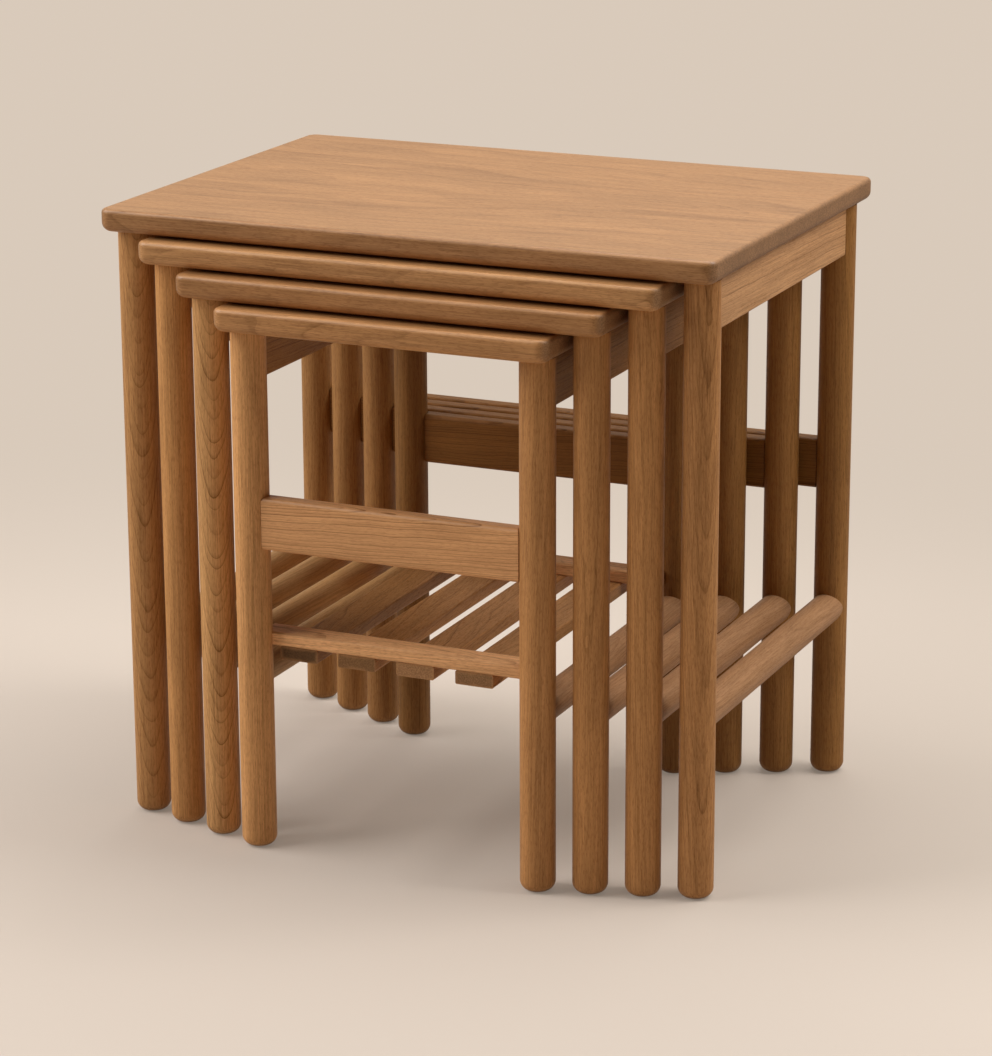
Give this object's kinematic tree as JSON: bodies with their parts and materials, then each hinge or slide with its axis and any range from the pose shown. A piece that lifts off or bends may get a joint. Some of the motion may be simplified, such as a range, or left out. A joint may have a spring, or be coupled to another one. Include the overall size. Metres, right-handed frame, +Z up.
{
  "type": "nesting tables",
  "caption": "Wooden nesting tables: rectangular tops on round legs, each smaller table standing inside the next, the smallest with a slatted shelf; they slide out to the front.",
  "frame": {"origin": "middle of the closed nest's bounding box, on the floor", "axes": "+X the right-hand side seen from the front, +Y the back, +Z up; the tables are drawn out along -Y"},
  "size_m": [0.56, 0.439, 0.55],
  "materials": {
    "top": "satin lacquer",
    "leg": "satin lacquer",
    "apron": "satin lacquer",
    "stretcher": "satin lacquer",
    "rail": "satin lacquer",
    "shelf": "satin lacquer",
    "screw": "zinc plated"
  },
  "bodies": {
    "table_1": {"table_1_top": "top", "table_1_leg_front_left": "leg", "table_1_leg_front_right": "leg", "table_1_leg_rear_left": "leg", "table_1_leg_rear_right": "leg", "table_1_apron_left": "apron", "table_1_apron_right": "apron", "table_1_stretcher_left": "stretcher", "table_1_stretcher_right": "stretcher", "table_1_back_rail": "rail", "table_1_top_screws": "screw"},
    "table_2": {"table_2_top": "top", "table_2_leg_front_left": "leg", "table_2_leg_front_right": "leg", "table_2_leg_rear_left": "leg", "table_2_leg_rear_right": "leg", "table_2_apron_left": "apron", "table_2_apron_right": "apron", "table_2_stretcher_left": "stretcher", "table_2_stretcher_right": "stretcher", "table_2_back_rail": "rail", "table_2_top_screws": "screw"},
    "table_3": {"table_3_top": "top", "table_3_leg_front_left": "leg", "table_3_leg_front_right": "leg", "table_3_leg_rear_left": "leg", "table_3_leg_rear_right": "leg", "table_3_apron_left": "apron", "table_3_apron_right": "apron", "table_3_stretcher_left": "stretcher", "table_3_stretcher_right": "stretcher", "table_3_back_rail": "rail", "table_3_top_screws": "screw"},
    "table_4": {"table_4_top": "top", "table_4_leg_front_left": "leg", "table_4_leg_front_right": "leg", "table_4_leg_rear_left": "leg", "table_4_leg_rear_right": "leg", "table_4_apron_left": "apron", "table_4_apron_right": "apron", "table_4_stretcher_left": "stretcher", "table_4_stretcher_right": "stretcher", "table_4_back_rail": "rail", "table_4_top_screws": "screw", "table_4_front_rail": "rail", "table_4_shelf_front_board": "shelf", "table_4_shelf_back_board": "shelf", "table_4_shelf_slat_1": "shelf", "table_4_shelf_slat_2": "shelf", "table_4_shelf_slat_3": "shelf", "table_4_shelf_slat_4": "shelf", "table_4_shelf_screws": "screw"}
  },
  "joints": [
    {"name": "draw_table_2", "type": "slide", "parent": "table_1", "child": "table_2", "axis": [0, -1, 0], "range_m": [0, 0.4]},
    {"name": "draw_table_3", "type": "slide", "parent": "table_2", "child": "table_3", "axis": [0, -1, 0], "range_m": [0, 0.4]},
    {"name": "draw_table_4", "type": "slide", "parent": "table_3", "child": "table_4", "axis": [0, -1, 0], "range_m": [0, 0.4]}
  ]
}
